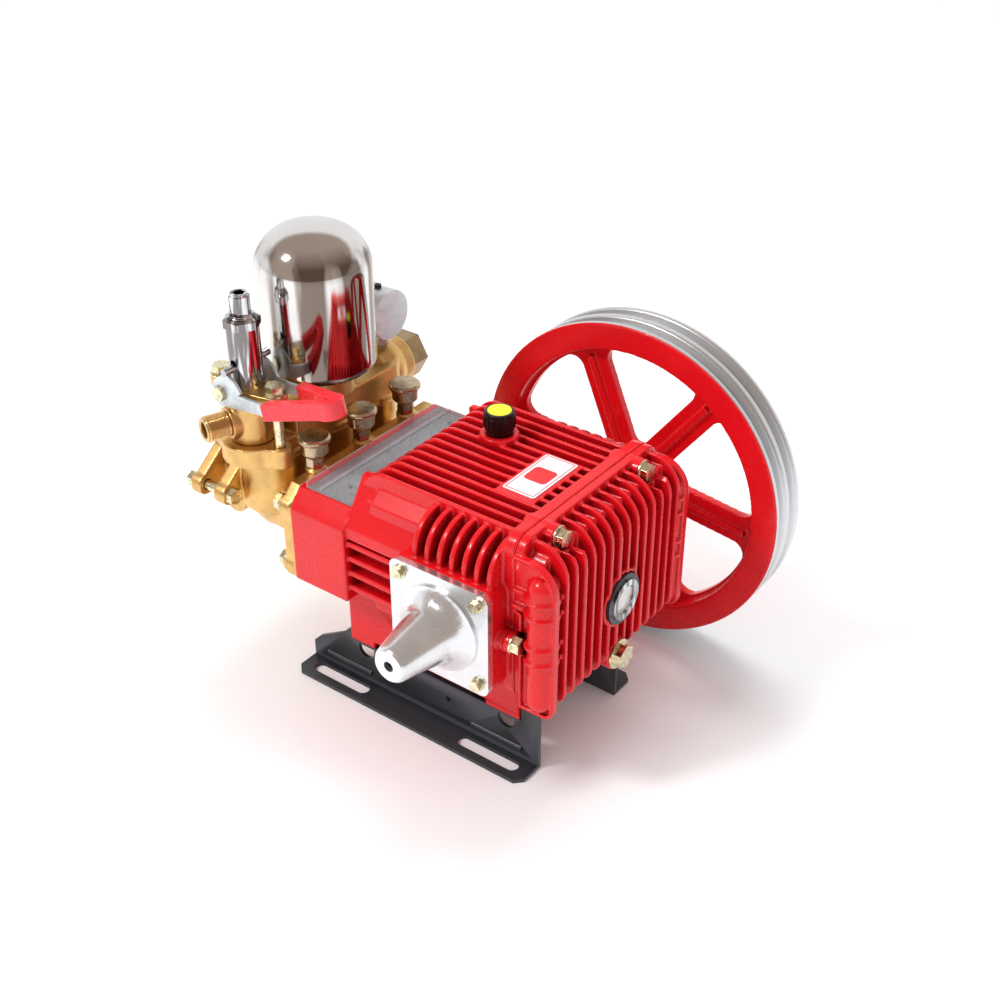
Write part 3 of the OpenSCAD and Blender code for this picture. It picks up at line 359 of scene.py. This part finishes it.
def crisp(node, bevel_mm):
    """A machined look for a CAD node: its own mesh, with small bevels on the hard edges."""
    obj = nodes[node]
    obj.data.polygons.foreach_set("use_smooth", [True] * len(obj.data.polygons))
    if "custom_normal" in obj.data.attributes:
        obj.data.attributes.remove(obj.data.attributes["custom_normal"])
    weld = obj.modifiers.new("weld", "WELD")
    weld.merge_threshold = 1e-6
    flat = obj.modifiers.new("flat", "DECIMATE")
    flat.decimate_type = "DISSOLVE"
    flat.angle_limit = math.radians(0.5)
    bevel = obj.modifiers.new("bevel", "BEVEL")
    bevel.width = bevel_mm * MM
    bevel.segments = 2
    bevel.angle_limit = math.radians(32)
    bevel.harden_normals = True
    return obj


def turned(profile, origin, axis, steps=96):
    """A closed mesh turned round an axis. The profile is (distance along, radius), from one pole to
    the other if its ends have no radius, or else a closed ring."""
    bm = bmesh.new()
    turn = Vector(axis).to_track_quat("Z", "Y").to_matrix()
    rings = []
    for along, radius in profile:
        count = 1 if radius == 0 else steps
        angles = [2 * math.pi * i / steps for i in range(count)]
        ring = [Vector((radius * math.cos(a), radius * math.sin(a), along)) for a in angles]
        rings.append([bm.verts.new(Vector(origin) + turn @ place) for place in ring])
    following = rings[1:] if len(rings[0]) == 1 else rings[1:] + rings[:1]
    for first, second in zip(rings, following):
        for i in range(steps):
            j = (i + 1) % steps
            corners = [first[i % len(first)], first[j % len(first)],
                       second[j % len(second)], second[i % len(second)]]
            bm.faces.new(list(dict.fromkeys(corners)))
    bmesh.ops.recalc_face_normals(bm, faces=bm.faces)
    mesh = bpy.data.meshes.new("turned")
    bm.to_mesh(mesh)
    bm.free()
    mesh.polygons.foreach_set("use_smooth", [True] * len(mesh.polygons))
    return mesh


def screw_thread(origin, axis, length, r_outer, depth, lead, r_bore, steps=72, rows_per_lead=8):
    """A threaded sleeve: a real helix outside, a plain bore inside, closed at both ends."""
    bm = bmesh.new()
    turn = Vector(axis).to_track_quat("Z", "Y").to_matrix()
    rows = int(length / lead * rows_per_lead)

    def ring(along, radius_at):
        out = []
        for i in range(steps):
            a = 2 * math.pi * i / steps
            r = radius_at(a, along)
            place = Vector((r * math.cos(a), r * math.sin(a), along))
            out.append(bm.verts.new(Vector(origin) + turn @ place))
        return out

    def crest(a, along):
        """The radius on a flat-topped ridge that fades in and out at the sleeve's ends."""
        phase = (along / lead - a / (2 * math.pi)) % 1
        ridge = min(1, max(0, 1.25 - 4 * abs(phase - 0.5)))
        fade = min(1, along / lead, (length - along) / lead)
        return r_outer - depth * (1 - ridge * max(0, fade))

    rings = [ring(length * k / rows, crest) for k in range(rows + 1)]
    rings += [ring(length, lambda a, z: r_bore), ring(0, lambda a, z: r_bore)]
    for first, second in zip(rings, rings[1:] + rings[:1]):
        for i in range(steps):
            j = (i + 1) % steps
            bm.faces.new((first[i], first[j], second[j], second[i]))
    bmesh.ops.recalc_face_normals(bm, faces=bm.faces)
    mesh = bpy.data.meshes.new("thread")
    bm.to_mesh(mesh)
    bm.free()
    mesh.polygons.foreach_set("use_smooth", [True] * len(mesh.polygons))
    return mesh


def frame_of_bars(x0, x1, y0, y1, z0, z1, bar):
    """A flat rectangular ring, as a closed mesh."""
    bm = bmesh.new()
    outer = [(x0, y0), (x1, y0), (x1, y1), (x0, y1)]
    inner = [(x0 + bar, y0 + bar), (x1 - bar, y0 + bar), (x1 - bar, y1 - bar), (x0 + bar, y1 - bar)]
    loops = [[bm.verts.new((x, y, z)) for x, y in loop] for loop, z in
             ((outer, z0), (outer, z1), (inner, z1), (inner, z0))]
    for first, second in zip(loops, loops[1:] + loops[:1]):
        for i in range(4):
            j = (i + 1) % 4
            bm.faces.new((first[i], first[j], second[j], second[i]))
    bmesh.ops.recalc_face_normals(bm, faces=bm.faces)
    mesh = bpy.data.meshes.new("bars")
    bm.to_mesh(mesh)
    bm.free()
    return mesh


# ---- castings ----
outlet = next(m for m in frame["record"]["mounts"] if m["name"] == "outlet_thread")
outlet_axis = Vector(outlet["axis"]).normalized()
outlet_r = outlet["dims"]["r_mm"] * MM
outlet_len = outlet["dims"]["length_mm"] * MM
outlet_start = Vector(outlet["pos_m"]) - outlet_axis * outlet_len / 2
THREAD_DEPTH = 1.15 * MM


def sink_outlet(mesh):
    """Draws the plain outlet in, so that the thread piece can stand round it."""
    limit = outlet_r - THREAD_DEPTH - 0.5 * MM
    for v in mesh.vertices:
        along = (v.co - outlet_start).dot(outlet_axis)
        out = v.co - outlet_start - outlet_axis * along
        if along > -0.5 * MM and limit < out.length < outlet_r + 0.2 * MM:
            v.co -= out.normalized() * (out.length - limit)


# voxel in mm, smoothing passes, share of the faces kept
CASTINGS = {
    "crankcase": (0.9, 4, 0.35), "rear_cover": (0.8, 3, 0.35), "flywheel": (0.9, 3, 0.4),
    "bearing_cap": (0.8, 4, 0.4), "cylinder_block": (0.9, 6, 0.35), "suction_head": (0.9, 6, 0.35),
    "discharge_manifold": (0.8, 6, 0.35), "lever_grip": (0.5, 8, 0.3),
}
for cad_node, (voxel, passes, keep) in CASTINGS.items():
    cast_skin(cad_node, voxel, passes, keep)
cast_skin("regulator_body", 0.6, 5, 0.35, sink_outlet)

new_piece("outlet_thread", screw_thread(outlet_start, outlet_axis, outlet_len, outlet_r, THREAD_DEPTH,
          1.8 * MM, 6.6 * MM), "frame", "brass", surfaces["machined_brass"])

# ---- air chamber, drawn in one piece ----
dome_low, dome_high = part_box("air_chamber")
DOME_NECK, DOME_WALL, DOME_CROWN = 14 * MM, 2 * MM, 36 * MM
NECK_R, NECK_BORE = 7.9 * MM, 5 * MM
FOOT_ROUND = 8 * MM
CROWN_STEPS, CROWN_POWER = 40, 0.9


def crown(radius, top):
    """From the straight side up to the pole, as (height, radius)."""
    turns = [QUARTER * i / CROWN_STEPS for i in range(CROWN_STEPS)]
    start = top - DOME_CROWN
    return [(start + DOME_CROWN * math.sin(a) ** CROWN_POWER, radius * math.cos(a) ** CROWN_POWER)
            for a in turns] + [(top, 0)]


def dome_mesh():
    radius = (dome_high.x - dome_low.x) / 2 - 0.02 * MM
    base = dome_low.z + DOME_NECK
    rounding = [(base + FOOT_ROUND * (1 - math.cos(a)), radius - FOOT_ROUND * (1 - math.sin(a)))
                for a in (QUARTER * i / 8 for i in range(9))]
    foot = dome_low.z + 0.1 * MM
    outside = [(foot, NECK_BORE), (foot, NECK_R), (base, NECK_R)] + rounding
    outside += crown(radius, dome_high.z - 0.02 * MM)
    inner = radius - DOME_WALL
    floor_z = base + 3 * MM
    inside = crown(inner, dome_high.z - DOME_WALL)[::-1]
    inside += [(base + FOOT_ROUND, inner), (floor_z, inner - 7 * MM), (floor_z, NECK_BORE)]
    axis = ((dome_low.x + dome_high.x) / 2, (dome_low.y + dome_high.y) / 2, 0)
    return turned(inside + outside, axis, (0, 0, 1), 128)


dome = new_piece("air_chamber_drawn", dome_mesh(), nodes["air_chamber"]["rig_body"], slots["air_chamber"],
                 surfaces["polished_stainless"])
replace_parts(dome, "air_chamber")

# ---- machined, drawn and bought-in parts ----
done = {o["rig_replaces"][0] for o in bpy.data.objects if "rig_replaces" in o}
USUAL_BEVEL = 0.35
BEVELS = {"base_rail_left": 0.6, "base_rail_right": 0.6, "gauge_needle": 0, "regulator_spring": 0,
          "bearing_outer_races": 0, "nameplate": 0.2,
          "shaft_cover": 0.9, "cover_gasket": 0.1}
for cad_node, obj in nodes.items():
    if cad_node in done:
        continue
    dress(obj, surfaces["dark_ring" if cad_node == "sight_glass" else slots[cad_node]])
    width = BEVELS.get(cad_node, USUAL_BEVEL)
    if width:
        crisp(cad_node, width)
    else:
        obj.data.polygons.foreach_set("use_smooth", [True] * len(obj.data.polygons))


def paint_where(node, test, material):
    """A second material on the faces whose middle passes the test."""
    mesh = nodes[node].data
    mesh.materials.append(material)
    for p in mesh.polygons:
        if test(p.center):
            p.material_index = len(mesh.materials) - 1


# ---- room for the crossheads in the rounded crankcase ----
GUIDE_ROOM, STROKE = 0.35 * MM, 16 * MM


def widen_guide(mesh, crosshead):
    low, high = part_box(crosshead)
    middle, radius = (low + high) / 2, (high.z - low.z) / 2
    for v in mesh.vertices:
        out = Vector((0, v.co.y - middle.y, v.co.z - middle.z))
        if low.x - STROKE < v.co.x < high.x + STROKE and -1.2 * MM < out.length - radius < GUIDE_ROOM:
            v.co += out.normalized() * (radius + GUIDE_ROOM - out.length)


for row in (1, 2, 3):
    widen_guide(bpy.data.objects["crankcase_cast"].data, f"crosshead_{row}")

# ---- the regulator's spring, as a piece with its own mesh ----
spring = nodes["regulator_spring"]
coil = new_piece("regulator_spring_coil", spring.data.copy(), spring["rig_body"], slots["regulator_spring"],
                 surfaces[slots["regulator_spring"]])
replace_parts(coil, "regulator_spring")
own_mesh(coil)

# ---- bare metal in the trough over the plungers ----
TROUGH_FLOOR = 120 * MM
trough_low, trough_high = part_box("drip_cover")
skin = bpy.data.objects["crankcase_cast"].data
skin.materials.append(surfaces["zinc_plate"])
for face in skin.polygons:
    middle = face.center
    if (trough_low.x + 5 * MM < middle.x < trough_high.x - 2 * MM
            and abs(middle.y) < trough_high.y - 2 * MM
            and TROUGH_FLOOR < middle.z < trough_low.z - 1.5 * MM):
        face.material_index = 1

# ---- oil cap, sight glass, gauge and name plate ----
cap_low, cap_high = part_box("oil_cap")
cap_axis = (cap_low + cap_high) / 2
DISC_R, DISC_DEPTH = 9.15 * MM, 1.3 * MM


def on_disc(p):
    return p.z > cap_high.z - DISC_DEPTH and math.hypot(p.x - cap_axis.x, p.y - cap_axis.y) < DISC_R


paint_where("oil_cap", on_disc, yellow_disc)

glass_low, glass_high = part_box("sight_glass")
glass_mid = (glass_low + glass_high) / 2
LENS_R, RING_R = 11.45 * MM, 16.1 * MM


def off_glass_axis(p):
    return math.hypot(p.y - glass_mid.y, p.z - glass_mid.z)


paint_where("sight_glass", lambda p: off_glass_axis(p) < RING_R, surfaces["chrome"])
paint_where("sight_glass", lambda p: off_glass_axis(p) < LENS_R and p.x > glass_high.x - 5.2 * MM
            and p.x < glass_high.x - 2.2 * MM, oil_glass)

gauge_axis = Vector(joints["needle_turn"]["pos_m"])
case_low, case_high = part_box("gauge_case")


def on_plug(p):
    return p.z > case_high.z - 6.7 * MM and math.hypot(p.x - (case_low.x + case_high.x) / 2 - 1 * MM,
                                                       p.y - gauge_axis.y) < 2.95 * MM


paint_where("gauge_case", on_plug, surfaces["black_rubber"])

DIAL_R, DIAL_DEPTH, DIAL_AT = 18.8 * MM, 0.1 * MM, 5.5 * MM


def dial_mesh():
    """A thin ring with raised ticks over the gauge's 270 degrees, on the floor of the case."""
    floor_x = case_low.x + DIAL_AT
    mesh = turned([(0, 1.2 * MM), (0, DIAL_R), (DIAL_DEPTH, DIAL_R), (DIAL_DEPTH, 1.2 * MM)],
                  (floor_x, gauge_axis.y, gauge_axis.z), (-1, 0, 0), 64)
    bm = bmesh.new()
    bm.from_mesh(mesh)
    for i in range(28):
        a = math.radians(-45 + 10 * i)
        inner, half = (12.2, 0.45) if i % 3 == 0 else (14.2, 0.25)
        for_tick = bmesh.ops.create_cube(bm, size=1)["verts"]
        length = 16.8 - inner
        for v in for_tick:
            along, across = (inner + length / 2 + v.co.y * length) * MM, v.co.z * 2 * half * MM
            v.co = Vector((floor_x - DIAL_DEPTH - 0.04 * MM + v.co.x * 0.12 * MM,
                           gauge_axis.y + along * math.cos(a) - across * math.sin(a),
                           gauge_axis.z + along * math.sin(a) + across * math.cos(a)))
        for f in {f for v in for_tick for f in v.link_faces}:
            f.material_index = 1
    bm.to_mesh(mesh)
    bm.free()
    mesh.polygons.foreach_set("use_smooth", [False] * len(mesh.polygons))
    return mesh


new_piece("gauge_dial", dial_mesh(), "frame", "gauge_steel", dial_white, surfaces["black_plastic"])

plate_low, plate_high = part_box("nameplate")


def plate_print():
    """A thin border and a plain round-cornered patch, printed on the plate."""
    inset, bar = 1.6 * MM, 0.6 * MM
    low, high = plate_high.z - 0.1 * MM, plate_high.z + 0.1 * MM
    mesh = frame_of_bars(plate_low.x + inset, plate_high.x - inset,
                         plate_low.y + inset, plate_high.y - inset, low, high, bar)
    new_piece("nameplate_border", mesh, "frame", "plate", plate_red)
    patch = bmesh.new()
    middle, half, corner = (plate_low + plate_high) / 2, 9.5 * MM, 3.5 * MM
    rim = []
    for quarter, (sx, sy) in enumerate(((1, 1), (-1, 1), (-1, -1), (1, -1))):
        for i in range(6):
            a = QUARTER * (quarter + i / 5)
            rim.append((middle.x + sx * (half - corner) + corner * math.cos(a),
                        middle.y + sy * (half - corner) + corner * math.sin(a)))
    bottom, top = ([patch.verts.new((x, y, z)) for x, y in rim] for z in (low, high))
    patch.faces.new(top)
    patch.faces.new(bottom[::-1])
    for i in range(len(rim)):
        j = (i + 1) % len(rim)
        patch.faces.new((bottom[i], bottom[j], top[j], top[i]))
    mesh = bpy.data.meshes.new("patch")
    patch.to_mesh(mesh)
    patch.free()
    new_piece("nameplate_patch", mesh, "frame", "plate", plate_red)


plate_print()

# ---- camera, light and floor ----
CAMERA_AT = Vector((0.5676, -0.7111, 0.7500))
AZIMUTH, ELEVATION = math.radians(36.7), math.radians(32.5)


def add_camera():
    camera = bpy.data.objects.new("camera", bpy.data.cameras.new("camera"))
    bpy.context.scene.collection.objects.link(camera)
    camera.data.lens = 50.94
    camera.data.sensor_width = 36
    camera.location = CAMERA_AT
    ahead = Vector((-math.sin(AZIMUTH) * math.cos(ELEVATION), math.cos(AZIMUTH) * math.cos(ELEVATION),
                    -math.sin(ELEVATION)))
    camera.rotation_euler = ahead.to_track_quat("-Z", "Y").to_euler()
    bpy.context.scene.camera = camera


def area_light(name, place, target, size, power, in_reflections=True):
    light = bpy.data.lights.new(name, "AREA")
    light.shape = "RECTANGLE"
    light.size, light.size_y = size
    light.energy = power
    obj = bpy.data.objects.new(name, light)
    obj.location = place
    obj.rotation_euler = (Vector(target) - Vector(place)).to_track_quat("-Z", "Y").to_euler()
    obj.visible_glossy = in_reflections
    bpy.context.scene.collection.objects.link(obj)


NEAR_SIDE = (0.54, 0.72)  # how far the dim side of the room leans to +X and to -Y


def add_world():
    """White for the view. In the metal's reflections the room is white, with a warm dim wall and
    ceiling on the near side."""
    world = bpy.data.worlds.new("studio")
    bpy.context.scene.world = world
    world.use_nodes = True
    tree = world.node_tree
    split = tree.nodes.new("ShaderNodeSeparateXYZ")
    tree.links.new(tree.nodes.new("ShaderNodeTexCoord").outputs["Generated"], split.inputs[0])
    near = link_math(tree, "SUBTRACT", link_math(tree, "MULTIPLY", split.outputs["X"], NEAR_SIDE[0]),
                     link_math(tree, "MULTIPLY", split.outputs["Y"], NEAR_SIDE[1]))
    dim = spread(tree, link_math(tree, "ADD", split.outputs["Z"], near), 0, 1, 0.12, 0.34)
    room = mix_color(tree, dim, [0.97, 0.97, 0.98, 1], [0.42, 0.335, 0.285, 1])
    rays = tree.nodes.new("ShaderNodeLightPath").outputs
    soft = mix_color(tree, rays["Is Diffuse Ray"], room, [0.80, 0.80, 0.81, 1])
    tree.links.new(mix_color(tree, rays["Is Camera Ray"], soft, [1, 1, 1, 1]),
                   tree.nodes["Background"].inputs["Color"])


def add_floor():
    bm = bmesh.new()
    bmesh.ops.create_circle(bm, cap_ends=True, segments=128, radius=4)
    mesh = bpy.data.meshes.new("floor")
    bm.to_mesh(mesh)
    bm.free()
    floor = bpy.data.objects.new("floor", mesh)
    bpy.context.scene.collection.objects.link(floor)
    floor.location.z = -0.0002
    dress(floor, surface("floor", (0.97, 0.97, 0.97), 0, 0.75, shade=0.005, patch=300, grain=2, bump=0.0))


add_camera()
add_world()
add_floor()
MIDDLE = (0, 0, 0.18)
area_light("key", (-1.5, -2.5, 3.1), MIDDLE, (0.7, 0.7), 80)
area_light("top", (-0.3, 1.2, 3.2), MIDDLE, (1.6, 1.2), 40, False)
bpy.context.scene.view_settings.view_transform = "Standard"
